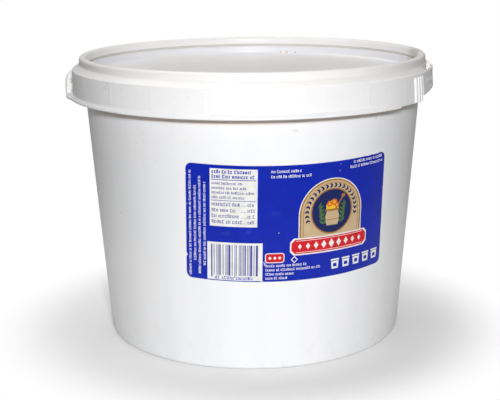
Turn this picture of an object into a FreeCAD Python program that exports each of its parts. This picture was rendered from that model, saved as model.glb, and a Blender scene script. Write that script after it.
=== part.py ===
import FreeCAD, Part
import math
import os
import Sketcher

# Food-service pail of about five litres: a tapered moulding with its press-on lid shut and a
# printed film label. The pail's axis is Z, the table is Z = 0 and the front faces -Y.
# Azimuths are in degrees from the front and grow towards +X. Sizes are in millimetres.

SIZES = [
    # the pail
    ("wall_draw", 12.9),         # how much narrower the wall is at the table than at its rim
    ("corner_round", 3.2),       # rounding between the wall and the foot
    ("foot_width", 6.0),         # flat ring that the pail stands on
    ("foot_recess", 1.6),        # how far the bottom lies above the table inside that ring
    ("recess_slope", 2.0),       # radial run of the recess's sloping side
    # the lid, from its top downwards
    ("lid_top", 176.0),          # top of the raised ring above the table
    ("ring_radius", 108.0),      # outside of the raised ring
    ("ring_width", 4.6),         # across the raised ring
    ("ring_round", 1.9),         # rounding along both of its top edges
    ("lid_wall", 1.5),           # thickness of the moulding
    ("step_drop", 5.4),          # from the ring's top to the step inside it
    ("step_width", 1.0),         # how far the step juts inwards
    ("step_slope", 0.4),         # height of the step's sloping top
    ("panel_drop", 11.5),        # from the ring's top to the sunk panel
    ("panel_round", 1.8),        # hollow between the panel and its wall
    ("ledge_drop", 7.5),         # from the ring's top to the ledge outside it
    ("ledge_flat", 0.3),         # flat part of the ledge; a hollow fills the rest to the ring
    ("ledge_round", 0.8),        # rounding between the ledge and the skirt
    ("skirt_reach", 4.5),        # from the ring's outside to the skirt's outside
    ("skirt_drop", 24.9),        # from the ring's top to the bottom of the lip
    ("lip_flare", 2.0),          # how far the lip stands out of the skirt
    ("lip_height", 2.9),
    ("lip_face", 0.5),           # upright part of the lip's outer edge
    ("lip_edge", 0.7),           # rounding under it
    ("seat_gap", 0.1),           # between lid and pail, where one seats in the other
    # fine ribs down the skirt, evenly spaced from one side of the opening tab to the other
    ("rib_count", 20),
    ("rib_before", 11.0),        # degrees, from the nearest rib to the tab's start
    ("rib_after", 13.1),         # degrees, from the tab's end to the nearest rib
    ("rib_width", 1.3),
    ("rib_proud", 0.25),
    ("rib_inset", 1.2),          # from the ledge and the lip to the rib's ends
    # the opening tab: the lip stops, grip ridges follow, then the skirt is cut short
    ("strip_span", 14.4),        # degrees, from where the lip's flare stops to the tab
    ("strip_lift", 1.2),         # skirt's edge above the lip's, along that strip
    ("grip_inset", 1.0),         # degrees, from the tab's start to the last ridge, on the tab
    ("grip_pitch", 2.2),         # degrees
    ("grip_count", 4),
    ("grip_width", 1.6),
    ("grip_proud", 1.0),
    ("tab_start", 61.9),         # azimuth where the skirt is cut short
    ("tab_span", 30.0),          # degrees
    ("tab_lift", 4.2),           # skirt's edge above the lip's, along the tab
    ("pocket_inset", 4.7),       # degrees, from the tab's start to the pocket behind it
    ("pocket_span", 19.0),       # degrees
    ("pocket_margin", 0.7),      # between the ring and the pocket
    ("pocket_depth", 2.6),
    ("pocket_ends", 0.7),        # degrees of wall at each end of it
    ("tab_thickness", 1.0),      # between the pocket and the skirt's outside
    # the thumb lug on the left
    ("lug_front", -85.0),        # azimuth of the end that faces the front
    ("lug_span", 15.0),          # degrees
    ("lug_proud", 4.4),
    ("lug_drop", 1.6),           # from the ledge's edge down to its top
    ("lug_round", 3.6),          # rounding above and below its outer face
    ("lug_wall", 1.4),
    ("lug_end_wall", 0.8),       # degrees
    ("notch_width", 0.9),        # two small sink notches in the lug's front end
    ("notch_height", 2.2),
    ("notch_depth", 0.3),        # degrees
    ("notch_upper", 6.8),        # from the lug's top down to the upper notch
    ("notch_lower", 0.9),        # from the lip up to the lower notch
    # the label
    ("label_azimuth", 13.3),
    ("label_width", 125.5),      # along the curve of the wall
    ("label_height", 69.3),
    ("label_drop", 26.8),        # from the lip down to the label's upper edge, at its middle
    ("label_corner", 4.0),
    ("film", 0.2),
]

DERIVED = [
    ("skirt_radius", "ring_radius + skirt_reach"),
    ("skirt_inner", "skirt_radius - lid_wall"),
    ("skirt_core", "skirt_radius - lid_wall / 2"),
    ("ledge_level", "lid_top - ledge_drop"),
    ("ledge_edge", "ledge_level - ledge_round"),
    ("lip_level", "lid_top - skirt_drop"),
    ("lip_shoulder", "lip_level + lip_height"),
    ("lip_radius", "skirt_radius + lip_flare"),
    ("ledge_hollow", "skirt_reach - ledge_round - ledge_flat"),
    ("strip_level", "lip_level + strip_lift"),
    ("tab_level", "lip_level + tab_lift"),
    ("panel_level", "lid_top - panel_drop"),
    ("step_level", "lid_top - step_drop"),
    ("ring_inner", "ring_radius - ring_width"),
    ("channel_outer", "ring_radius - lid_wall"),
    ("channel_inner", "ring_inner + lid_wall"),
    ("wall_inner", "ring_inner - step_width"),
    ("plug_radius", "wall_inner + lid_wall"),
    ("plug_level", "panel_level - lid_wall"),
    ("rim_level", "lid_top - lid_wall - seat_gap"),
    ("rim_radius", "channel_outer - seat_gap"),
    ("floor_radius", "rim_radius - wall_draw"),       # the wall carried down to the table
    ("taper", "wall_draw / rim_level"),
    ("foot_radius", "floor_radius - corner_round"),
    ("recess_radius", "foot_radius - foot_width"),
    ("lip_end", "tab_start - strip_span"),
    ("rib_last", "tab_start - rib_before"),
    ("rib_sweep", "360 - rib_before - tab_span - rib_after"),
    ("rib_pitch", "rib_sweep / (rib_count - 1)"),
    ("grip_last", "tab_start + grip_inset"),
    ("pocket_start", "tab_start + pocket_inset"),
    ("lug_radius", "skirt_radius + lug_proud"),
    ("lug_top", "ledge_edge - lug_drop"),
    ("pocket_outer", "skirt_radius - tab_thickness"),
    ("pocket_inner", "ring_radius + pocket_margin"),
    ("pocket_level", "ledge_level - pocket_depth"),
    ("clear_radius", "lug_radius + lip_flare"),       # outside everything on the lid
    ("label_top", "lip_level - label_drop"),
    ("label_bottom", "label_top - label_height"),
    ("label_radius", "floor_radius + taper * (label_bottom + label_top) / 2"),
    ("label_half", "label_radius * sin(label_width / label_radius / 2 * 1rad)"),
    # a straight strip laid round a taper rises towards its ends, along a shallow arc
    ("label_rise", "label_width ^ 2 / 8 * taper / label_radius"),
    ("label_bow", "label_half ^ 2 / 2 / label_rise + label_rise / 2"),
]

doc = FreeCAD.newDocument("Pail")
sheet = doc.addObject("Spreadsheet::Sheet", "Sizes")
for row, (alias, content) in enumerate(SIZES + DERIVED, 1):
    sheet.set(f"A{row}", alias)
    sheet.set(f"B{row}", f"={content}" if isinstance(content, str) else str(content))
    sheet.setAlias(f"B{row}", alias)
doc.recompute()

WORDS = {alias for alias, _ in SIZES + DERIVED}


def bound(formula):
    """The formula with every name of the sheet turned into a reference to its cell."""
    tokens = formula.replace("(", " ( ").replace(")", " ) ").split()
    return " ".join("Sizes." + token if token in WORDS else token for token in tokens)


def number(formula):
    """What a formula of the sheet's names comes to now."""
    value = sheet.evalExpression(bound(formula))
    return float(getattr(value, "Value", value))


def draw(sketch, path):
    """Draw a closed outline in a sketch and tie it to the sheet. Each entry of the path is
    (x, y) and the run that leaves it: nothing more for a straight one, or ("left", radius)
    or ("right", radius) for an arc whose centre lies on that side of the way."""
    corners = [FreeCAD.Vector(number(entry[0]), number(entry[1]), 0) for entry in path]
    leaving = []
    for index, entry in enumerate(path):
        start = corners[index]
        end = corners[(index + 1) % len(path)]
        if len(entry) == 2:
            sketch.addGeometry(Part.LineSegment(start, end), False)
            leaving.append((1, 2))
            continue
        radius = number(entry[3])
        way = (end - start).normalize()
        side = FreeCAD.Vector(-way.y, way.x, 0) * (1 if entry[2] == "left" else -1)
        half = start.distanceToPoint(end) / 2
        depth = radius - math.sqrt(radius ** 2 - half ** 2)
        sketch.addGeometry(Part.Arc(start, (start + end) / 2 - side * depth, end), False)
        # a sketch keeps its arcs counter-clockwise, so one that turns right is held by its end
        leaving.append((1, 2) if entry[2] == "left" else (2, 1))
    for index, entry in enumerate(path):
        following = (index + 1) % len(path)
        first, last = leaving[index]
        sketch.addConstraint(Sketcher.Constraint(
            "Coincident", index, last, following, leaving[following][0]))
        for kind, axis, formula, value in (("DistanceX", -2, entry[0], corners[index].x),
                                           ("DistanceY", -1, entry[1], corners[index].y)):
            if formula == "0":
                sketch.addConstraint(Sketcher.Constraint("PointOnObject", index, first, axis))
                continue
            place = sketch.addConstraint(Sketcher.Constraint(kind, -1, 1, index, first, value))
            sketch.setExpression(f"Constraints[{place}]", bound(formula))
        if len(entry) > 2:
            place = sketch.addConstraint(Sketcher.Constraint("Radius", index, number(entry[3])))
            sketch.setExpression(f"Constraints[{place}]", bound(entry[3]))


def section(body, name, path, azimuth="0"):
    """A sketch in the half-plane through the axis at an azimuth: x is radius, y is height."""
    sketch = body.newObject("Sketcher::SketchObject", name)
    plane = next(item for item in body.Origin.OriginFeatures if item.Role == "XZ_Plane")
    sketch.AttachmentSupport = [(plane, "")]
    sketch.MapMode = "FlatFace"
    sketch.AttachmentOffset = FreeCAD.Placement(
        FreeCAD.Vector(), FreeCAD.Rotation(FreeCAD.Vector(0, 1, 0), 1))
    sketch.setExpression(
        ".AttachmentOffset.Rotation.Angle", f"( {bound(azimuth)} - 90 ) * 1deg")
    draw(sketch, path)
    doc.recompute()
    return sketch


def turned(body, kind, name, path, azimuth="0", span=None):
    """Turn a section about the axis, all the way round or through a span from its azimuth."""
    item = body.newObject(kind, name)
    item.Profile = section(body, name + "_section", path, azimuth)
    item.ReferenceAxis = (item.Profile[0], ["V_Axis"])
    if span is None:
        item.Angle = 360
    else:
        item.setExpression("Angle", f"( {bound(span)} ) * 1deg")
    doc.recompute()
    return item


def barred(body, name, path, azimuth, width, count, pitch):
    """Upright bars on the skirt: the last, and its copies back round the axis at a pitch."""
    bar = body.newObject("PartDesign::Pad", name)
    bar.Profile = section(body, name + "_section", path, azimuth)
    bar.Midplane = True
    bar.setExpression("Length", bound(width))
    doc.recompute()
    row = body.newObject("PartDesign::PolarPattern", name + "_row")
    row.Originals = [bar]
    axis = next(item for item in body.Origin.OriginFeatures if item.Role == "Z_Axis")
    row.Axis = (axis, [""])
    row.Reversed = True
    row.setExpression("Occurrences", bound(count))
    row.setExpression("Angle", f"{bound(pitch)} * ( {bound(count)} - 1 ) * 1deg")
    body.Tip = row
    doc.recompute()


def rectangle(low_x, low_y, high_x, high_y):
    return [(low_x, low_y), (high_x, low_y), (high_x, high_y), (low_x, high_y)]


# The pail: a closed pack can't be seen into, so wall and contents are one solid. It stands on
# a flat ring, and its rim reaches up into the channel under the lid's raised ring.
pail = doc.addObject("PartDesign::Body", "pail")
turned(pail, "PartDesign::Revolution", "wall", [
    ("0", "foot_recess"),
    ("recess_radius - recess_slope", "foot_recess"),
    ("recess_radius", "0"),
    ("foot_radius", "0", "left", "corner_round"),
    ("floor_radius + taper * corner_round", "corner_round"),
    ("rim_radius", "rim_level"),
    ("channel_inner + seat_gap", "rim_level"),
    ("channel_inner + seat_gap", "step_level"),
    ("plug_radius + seat_gap", "step_level - step_slope"),
    ("plug_radius + seat_gap", "plug_level - seat_gap"),
    ("0", "plug_level - seat_gap"),
])

# The lid: a sunk panel, a raised ring over the pail's rim, a ledge, and a skirt that stands
# clear of the wall and ends in a flared lip.
lid = doc.addObject("PartDesign::Body", "lid")
turned(lid, "PartDesign::Revolution", "moulding", [
    ("0", "panel_level"),
    ("0", "plug_level"),
    ("plug_radius", "plug_level"),
    ("plug_radius", "step_level - step_slope"),
    ("channel_inner", "step_level"),
    ("channel_inner", "lid_top - lid_wall"),
    ("channel_outer", "lid_top - lid_wall"),
    ("channel_outer", "ledge_level - lid_wall"),
    ("skirt_inner", "ledge_level - lid_wall"),
    ("skirt_inner", "lip_level"),
    ("lip_radius - lip_edge", "lip_level", "left", "lip_edge"),
    ("lip_radius", "lip_level + lip_edge"),
    ("lip_radius", "lip_level + lip_edge + lip_face"),
    ("skirt_radius", "lip_shoulder"),
    ("skirt_radius", "ledge_edge", "left", "ledge_round"),
    ("skirt_radius - ledge_round", "ledge_level"),
    ("ring_radius + ledge_hollow", "ledge_level", "right", "ledge_hollow"),
    ("ring_radius", "ledge_level + ledge_hollow"),
    ("ring_radius", "lid_top - ring_round", "left", "ring_round"),
    ("ring_radius - ring_round", "lid_top"),
    ("ring_inner + ring_round", "lid_top", "left", "ring_round"),
    ("ring_inner", "lid_top - ring_round"),
    ("ring_inner", "step_level"),
    ("wall_inner", "step_level - step_slope"),
    ("wall_inner", "panel_level + panel_round", "right", "panel_round"),
    ("wall_inner - panel_round", "panel_level"),
])

# Towards the opening tab the lip's flare stops, so that a fingertip can get under the skirt.
turned(lid, "PartDesign::Groove", "flare_stop", rectangle(
    "skirt_radius", "lip_level - lid_wall", "clear_radius", "lip_shoulder",
), "lip_end", "tab_start + tab_span - lip_end")

barred(lid, "rib", rectangle(
    "skirt_core", "lip_shoulder + rib_inset", "skirt_radius + rib_proud", "ledge_edge - rib_inset",
), "rib_last", "rib_width", "rib_count", "rib_pitch")

barred(lid, "grip", rectangle(
    "skirt_core", "strip_level", "skirt_radius + grip_proud", "ledge_edge",
), "grip_last", "grip_width", "grip_count", "grip_pitch")

# The lug is a hollow bump between ledge and lip, open below for a fingernail.
turned(lid, "PartDesign::Revolution", "lug", [
    ("skirt_core", "lip_level"),
    ("lug_radius - lug_round", "lip_level", "left", "lug_round"),
    ("lug_radius", "lip_level + lug_round"),
    ("lug_radius", "lug_top - lug_round", "left", "lug_round"),
    ("lug_radius - lug_round", "lug_top"),
    ("skirt_core", "lug_top"),
], "lug_front - lug_span", "lug_span")
turned(lid, "PartDesign::Groove", "lug_hollow", rectangle(
    "skirt_radius", "lip_level - lug_wall", "lug_radius - lug_wall", "lug_top - lug_round",
), "lug_front - lug_span + lug_end_wall", "lug_span - 2 * lug_end_wall")
for notch, foot in (("notch_high", "lug_top - notch_upper"), ("notch_low", "lip_level + notch_lower")):
    turned(lid, "PartDesign::Groove", notch, rectangle(
        "skirt_radius", foot, "skirt_radius + notch_width", f"{foot} + notch_height",
    ), "lug_front - notch_depth", "2 * notch_depth")

# The opening tab: the skirt's edge rises in two steps, and a pocket sunk into the ledge lets
# a fingertip behind the tab's top.
turned(lid, "PartDesign::Revolution", "pocket_floor", rectangle(
    "channel_outer", "pocket_level - lid_wall", "skirt_core", "ledge_level - lid_wall / 2",
), "pocket_start - pocket_ends", "pocket_span + 2 * pocket_ends")
turned(lid, "PartDesign::Groove", "pocket", rectangle(
    "pocket_inner", "pocket_level", "pocket_outer", "lid_top",
), "pocket_start", "pocket_span")
turned(lid, "PartDesign::Groove", "strip_edge", rectangle(
    "skirt_inner - lid_wall", "lip_level - lid_wall", "clear_radius", "strip_level",
), "lip_end", "tab_start + tab_span - lip_end")
turned(lid, "PartDesign::Groove", "tab_edge", rectangle(
    "skirt_inner - lid_wall", "lip_level - lid_wall", "clear_radius", "tab_level",
), "tab_start", "tab_span")

# The label: a rounded strip of film, cut by its outline from a thin shell round the wall.
outline = doc.addObject("Sketcher::SketchObject", "label_outline")
draw(outline, [
    ("0 - label_half", "label_bottom + label_rise + label_corner"),
    ("0 - label_half", "label_top + label_rise - label_corner", "right", "label_corner"),
    ("label_corner - label_half", "label_top + label_rise", "left", "label_bow"),
    ("label_half - label_corner", "label_top + label_rise", "right", "label_corner"),
    ("label_half", "label_top + label_rise - label_corner"),
    ("label_half", "label_bottom + label_rise + label_corner", "right", "label_corner"),
    ("label_half - label_corner", "label_bottom + label_rise", "right", "label_bow"),
    ("label_corner - label_half", "label_bottom + label_rise", "right", "label_corner"),
])
outline.Placement = FreeCAD.Placement(
    FreeCAD.Vector(), FreeCAD.Rotation(FreeCAD.Vector(1, 0, 0), 90))
cutter = doc.addObject("Part::Extrusion", "label_cutter")
cutter.Base = outline
cutter.DirMode = "Normal"
cutter.Solid = True
cutter.setExpression("LengthFwd", bound("ring_radius"))
cutter.Placement = FreeCAD.Placement(
    FreeCAD.Vector(), FreeCAD.Rotation(FreeCAD.Vector(0, 0, 1), 1))
cutter.setExpression(".Placement.Rotation.Angle", f"{bound('label_azimuth')} * 1deg")


def cone(name, outset):
    item = doc.addObject("Part::Cone", name)
    item.setExpression("Radius1", bound(f"floor_radius + {outset}"))
    item.setExpression("Radius2", bound(f"rim_radius + {outset}"))
    item.setExpression("Height", bound("rim_level"))
    return item


shell = doc.addObject("Part::Cut", "label_shell")
shell.Base = cone("film_outside", "film")
shell.Tool = cone("film_inside", "0")
label = doc.addObject("Part::Common", "label")
label.Base = shell
label.Tool = cutter

doc.recompute()
for item in doc.Objects:
    if "Invalid" in item.State or "Error" in item.State:
        raise RuntimeError(f"{item.Label} failed: {item.State}")

os.makedirs("parts", exist_ok=True)
for item in (pail, lid, label):
    if item.Shape.isNull() or not item.Shape.isValid() or len(item.Shape.Solids) != 1:
        raise RuntimeError(f"{item.Label} isn't one valid solid")
    item.Shape.exportStep(f"parts/{item.Label}.step")
    box = item.Shape.BoundBox
    print(f"{item.Label}: {item.Shape.Volume / 1000:.1f} cm3, X {box.XMin:.1f} to {box.XMax:.1f},"
          f" Y {box.YMin:.1f} to {box.YMax:.1f}, Z {box.ZMin:.1f} to {box.ZMax:.1f}")
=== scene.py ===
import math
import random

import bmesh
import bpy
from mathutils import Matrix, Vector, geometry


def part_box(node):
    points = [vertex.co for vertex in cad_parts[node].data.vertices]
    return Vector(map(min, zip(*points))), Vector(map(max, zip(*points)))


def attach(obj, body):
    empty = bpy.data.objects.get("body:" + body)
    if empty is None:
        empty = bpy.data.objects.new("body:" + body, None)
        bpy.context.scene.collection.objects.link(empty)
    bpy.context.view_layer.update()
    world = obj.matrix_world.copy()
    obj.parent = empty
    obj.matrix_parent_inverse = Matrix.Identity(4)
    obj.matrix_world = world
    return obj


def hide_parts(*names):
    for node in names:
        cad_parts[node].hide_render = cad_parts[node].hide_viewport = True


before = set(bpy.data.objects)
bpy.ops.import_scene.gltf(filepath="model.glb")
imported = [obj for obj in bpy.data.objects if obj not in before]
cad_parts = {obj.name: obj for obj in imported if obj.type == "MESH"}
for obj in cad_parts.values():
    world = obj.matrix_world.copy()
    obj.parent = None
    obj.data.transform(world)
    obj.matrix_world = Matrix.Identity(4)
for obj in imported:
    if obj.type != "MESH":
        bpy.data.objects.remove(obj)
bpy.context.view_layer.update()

# %% [markdown]
# # A shut five-litre pail, dressed
# The frame that was just loaded holds the pail's three solids: the moulded pail, the lid that is
# pressed onto it and the film label on its front. They are right in size and plain in look. Each is
# replaced here by a mesh with the roundings, ribs and print that a real one has. Everything is in
# metres, in the frame's own place, so sizes are read from the frame's boxes and never fitted.

lid_low, lid_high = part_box("lid")
pail_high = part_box("pail")[1]
label_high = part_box("label")[1]
MM = 0.001
print(f"the pail is {lid_high.z / MM:.1f} mm tall and {lid_high.y / MM:.1f} mm in radius")

# %% [markdown]
# ## Where things are on a round pail
# On a turned object it is easier to think in an angle round the axis, a radius and a height than in
# X, Y and Z. The angle is measured in degrees from the front, which faces -Y, and grows towards +X.
# Lengths are written in millimetres, because that is how a moulder would give them, and `at` turns
# all three into a point in metres. `eased` is the soft step that rounds every edge below.

# %% Angle, radius and height to a point
def at(angle, radius, height):
    turn = math.radians(angle)
    return (radius * math.sin(turn) * MM, -radius * math.cos(turn) * MM, height * MM)


def eased(value, low, high):
    share = min(max((value - low) / (high - low), 0), 1)
    return share * share * (3 - 2 * share)


def between(value, low, high, edge):
    """1 between low and high, with soft edges inside them, and 0 outside."""
    return eased(value, low, low + edge) * (1 - eased(value, high - edge, high))


def arc(radius, height, size, start, end, steps):
    """Points of a rounding, from one angle of its own circle to another."""
    turns = [math.radians(start + (end - start) * step / steps) for step in range(steps + 1)]
    return [(radius + size * math.cos(turn), height + size * math.sin(turn)) for turn in turns]


print("straight ahead at radius 100 is", [round(value, 3) for value in at(0, 100, 0)])

# %% [markdown]
# ## Turning a section into a mesh
# A turned piece is a section carried round the axis. Blender's Screw modifier would do that for one
# fixed section, but the lid's section changes on the way round, at its ribs, its lug and its tab. So
# `turned` asks a function for the section at each angle and stitches neighbouring sections together.
# The first and last points of every section lie on the axis, and close the mesh there.

# %% A mesh from sections
def placed_in_scene(name, data):
    """A mesh, a lamp or a camera as an object of the scene."""
    made = bpy.data.objects.new(name, data)
    bpy.context.collection.objects.link(made)
    return made


def as_piece(name, points, faces):
    mesh = bpy.data.meshes.new(name)
    mesh.from_pydata(points, [], faces)
    mesh.validate()
    return placed_in_scene(name, mesh)


def turned(name, angles, section):
    """section(angle) gives (radius, height, degrees to shift) from the axis out and back again."""
    rows = [section(angle) for angle in angles]
    inner = len(rows[0]) - 2
    points = [at(0, 0, rows[0][0][1]), at(0, 0, rows[0][-1][1])]
    for angle, row in zip(angles, rows):
        points += [at(angle + shift, radius, height) for radius, height, shift in row[1:-1]]
    faces = []
    for index in range(len(angles)):
        here = 2 + index * inner
        there = 2 + (index + 1) % len(angles) * inner
        faces.append((0, here, there))
        faces += [(here + step, here + step + 1, there + step + 1, there + step)
                  for step in range(inner - 1)]
        faces.append((here + inner - 1, 1, there + inner - 1))
    piece = as_piece(name, points, faces)
    piece.data.shade_smooth()
    piece.data.set_sharp_from_angle(angle=math.radians(55))
    print(f"{name}: {len(rows)} sections of {len(rows[0])} points, {len(faces)} faces")
    return piece


# %% [markdown]
# ## The pail
# The pail is one thin moulding, a little narrower at the table than at its rim so that empty ones
# nest. It stands on a flat ring round a shallow recess, and every edge is rounded where the mould
# was. It is shut, so wall and contents are one closed form. The rim comes from the frame; what lies
# above it inside the lid is unseen and only closes the form under the lid's panel.

# %% The pail's section
rim_radius = pail_high.y / MM
rim_level = pail_high.z / MM
lid_top = lid_high.z / MM
WALL_DRAW = 12.9
WALL_LEVELS = (5, 8, 12, 18, 26, 36, 48, 62, 78, 94, 110, 126, 140, 152, 162, 169, 173)
FOOT_ROUND, RECESS = 3.2, 1.6
foot_radius = rim_radius - WALL_DRAW


def wall_radius(height):
    return foot_radius + WALL_DRAW * height / rim_level


def pail_section(angle):
    """Under the foot and up the wall, the same at every angle."""
    mouth = rim_radius - 1.4
    filling = lid_top - 13.1
    section = [(0, RECESS), (30, RECESS), (60, RECESS), (foot_radius - 12, RECESS)]
    section += [(foot_radius - 11.2, 1.55), (foot_radius - 10.9, 1.4), (foot_radius - 9.5, 0.15)]
    section += [(foot_radius - 9.2, 0.02), (foot_radius - 8.8, 0), (foot_radius - 6, 0)]
    section += arc(foot_radius - FOOT_ROUND, FOOT_ROUND, FOOT_ROUND, -90, 0, 9)
    section += [(wall_radius(height), height) for height in WALL_LEVELS]
    section += arc(rim_radius - 0.3, rim_level - 0.3, 0.3, 0, 90, 3)
    section += [(mouth + 0.1, rim_level), (mouth, rim_level - 0.2), (mouth, lid_top - 5.5)]
    section += [(mouth - 1, lid_top - 5.9), (mouth - 1, filling), (60, filling), (0, filling)]
    return [(radius, height, 0) for radius, height in section]


pail = turned("pail_moulding", range(360), pail_section)

# %% [markdown]
# ## The lid's features, as numbers
# Seen from above, the lid is a sunk panel, a raised ring that grips the pail's rim, a narrow
# sloping ledge and a deep skirt that ends in a flared lip. Three things interrupt it. A hollow thumb
# lug stands out on the left. On the right the lip stops and four grip ridges lead to a tab, where
# the skirt is cut shorter and a pocket sunk into the ledge lets a fingertip behind it. All round the
# rest run fine ribs. Spans are in degrees, sizes in millimetres, and each feature is a function of
# the angle.

# %% Levels, radii, spans and features
MOULDING, FLARE = 1.5, 2.0
LEDGE_REACH, LEDGE_SLOPE, LEDGE_EDGE = 4.5, 35, 0.8
POCKET_DEPTH, LUG_LIFT = 2.6, 0.75
fold_level = lid_top - 6.2
ledge = lid_top - 7.5
panel_level = lid_top - 11.5
lip = lid_low.z / MM
skirt = lid_high.y / MM - FLARE
panel_wall = skirt - 10.1
lug_radius = -lid_low.x / MM
lug_top = ledge - 2.4
LUG = (-100.0, -85.0)
TAB = (61.9, 91.9)
POCKET = (66.6, 85.6)
LIP_END = 47.5
RIBS = [(50.9 - 16.1 * index + 180) % 360 - 180 for index in range(20)]
GRIP_HEIGHTS = {56.9: 1.1, 58.85: 1.1, 60.8: 1.0, 62.85: 0.5}


def tab_rise(angle):
    """How far the skirt's edge is above the lip, in millimetres; it slants up along the tab."""
    slant = 3.0 + 1.7 * eased(angle, TAB[0], TAB[0] + 16)
    return 0.6 * between(angle, LIP_END, TAB[1], 0.16) + slant * between(angle, *TAB, 0.22)


def splay(angle):
    """Beside the tab, where it gets pulled, the skirt's foot stands out a little."""
    return 0.8 * between(angle, 22, TAB[1] + 12, 14)


def flare(angle):
    """How far the lip stands out: nothing along the tab, and a little more beside the lug."""
    near_lug = between(angle, LUG[0] - 8, LUG[1] + 14, 9)
    return FLARE * (1 - between(angle, LIP_END, TAB[1], 0.3)) + 2.3 * near_lug


def bar(angle, centres, flat, foot):
    """1 on the flat of the nearest ridge, 0 past its foot; both are degrees from its middle."""
    nearest = min(abs(angle - centre) for centre in centres)
    return 1 - eased(nearest, flat, foot)


def lug(angle):
    """How far the lug has risen, from 0 to 1: its flat end, then its rounded corner."""
    into = min(angle - LUG[0], LUG[1] - angle)
    if into <= 0:
        return 0, 0
    return [math.sqrt(1 - (1 - min(into / reach, 1)) ** 2) for reach in (0.12, 1.3)]


def lug_hollow(angle):
    """1 where the lug is open from below, between its two end walls."""
    return between(angle, LUG[0] + 0.8, LUG[1] - 0.8, 0.1)


print(f"lip at {lip:.1f} mm, ledge at {ledge:.1f} mm, skirt {skirt:.1f} mm in radius")

# %% [markdown]
# ## Sections only where they are needed
# A rib is little more than a millimetre wide, and the lid is over 700 mm round. Even spacing fine
# enough for the ribs would waste a million faces, so sections stand a degree or so apart on the
# plain stretches and crowd together where something starts or ends.

# %% The angles of the lid's sections
def crowd(centre, offsets):
    return [centre + side * offset for offset in offsets for side in (-1, 1)]


angles = [index * 1.2 - 180 for index in range(300)]
for rib in RIBS:
    angles += crowd(rib, (0.2, 0.27, 0.34, 0.42))
for grip in GRIP_HEIGHTS:
    angles += crowd(grip, (0.12, 0.26, 0.36, 0.46, 0.56, 0.66, 0.76, 0.86, 0.97))
for edge in (LIP_END, *TAB, *POCKET):
    angles += crowd(edge, (0.0001, 0.06, 0.12, 0.2, 0.3))
for edge, inward in ((LUG[0], 1), (LUG[1], -1)):
    steps = (-0.06, 0.0, 0.003, 0.012, 0.035, 0.08, 0.16, 0.26, 0.4, 0.6, 0.8, 0.9, 1.0, 1.15, 1.3)
    angles += [edge + inward * step for step in steps]
angles += [TAB[0] + 5.5 + 0.25 * index for index in range(70)]
angles.sort()
kept = [angles[0]]
for angle in angles[1:]:
    if angle - kept[-1] > 0.005:
        kept.append(angle)
print(f"{len(kept)} sections round the lid")

# %% [markdown]
# ## The lid's section, part by part
# The section is one line that starts on the axis, crosses the panel, climbs the ring, comes down
# the skirt and runs back inside it to the axis. Every angle has to give the same number of points,
# so a feature never adds points: it moves the ones that are there. The pocket, for example, is the
# part of the ledge's points that lies between two radii, pushed down.

# %% Panel, ring and ledge
PANEL_ROUND, RING_ROUND, HOLLOW_ROUND = 1.8, 1.9, 1.5
FOLD = [(0, -2), (0, -0.8), (0.06, -0.5), (0.25, -0.33), (1.95, -0.12), (2.05, 0), (1.98, 0.12),
        (1.12, 1.2), (1.02, 1.4), (1, 2.2)]


def panel_and_ring():
    """The panel, its upright wall, the fold at the wall's top, and the ring's round top."""
    points = [(radius, panel_level) for radius in (0, 12, 30, 52, 74, 90, 97)]
    points += arc(panel_wall - PANEL_ROUND, panel_level + PANEL_ROUND, PANEL_ROUND, -90, 0, 6)
    points += [(panel_wall + reach, fold_level + rise) for reach, rise in FOLD]
    points += arc(panel_wall + 1 + RING_ROUND, lid_top - RING_ROUND, RING_ROUND, 180, 90, 8)
    points += arc(skirt - LEDGE_REACH - RING_ROUND, lid_top - RING_ROUND, RING_ROUND, 90, 0, 8)
    return [(radius, height, 0) for radius, height in points]


def ledge_points(angle):
    """The hollow at the ring's foot, then the ledge as it slopes to its edge, with the pocket."""
    edge = arc(LEDGE_REACH - LEDGE_EDGE, -LEDGE_EDGE, LEDGE_EDGE, 90 - LEDGE_SLOPE, 0, 5)
    slope = math.radians(LEDGE_SLOPE)
    fall = math.tan(slope)
    start = edge[0][1] + fall * edge[0][0]
    hollow_level = start - HOLLOW_ROUND * fall + HOLLOW_ROUND / math.cos(slope)
    profile = [(0, 4.6)]
    profile += arc(HOLLOW_ROUND, hollow_level, HOLLOW_ROUND, 180, 270 - LEDGE_SLOPE, 6)
    profile += [(reach, start - fall * reach)
                for reach in (0.69, 0.73, 0.79, 1.1, 2.2, 3.2, 3.38, 3.44, 3.47, 3.51, 3.58)]
    depth = between(angle, *POCKET, 0.2)
    points = []
    for reach, rise in profile + edge:
        sunk = between(reach, 0.69, 3.53, 0.1) * depth
        height = ledge + rise - (rise + POCKET_DEPTH) * sunk
        points.append((skirt - LEDGE_REACH + reach, height, 0))
    return points


print(f"{len(panel_and_ring())} points across the top, {len(ledge_points(0))} on the ledge")

# %% [markdown]
# The skirt is a list of drops below the ledge, closest together where the lug and the ribs end, and
# the lip a list of steps: what share of the flare is reached at what height, and how far the round
# edge draws back. Along the tab the edge is higher, so the levels below the lug's top are squeezed
# into what is left. The lug rises in two parts: a flat end, which leans a little, and a rounded
# corner out to its full reach. Two small sink marks in its front end come from sliding a few points
# back round the axis.

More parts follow.
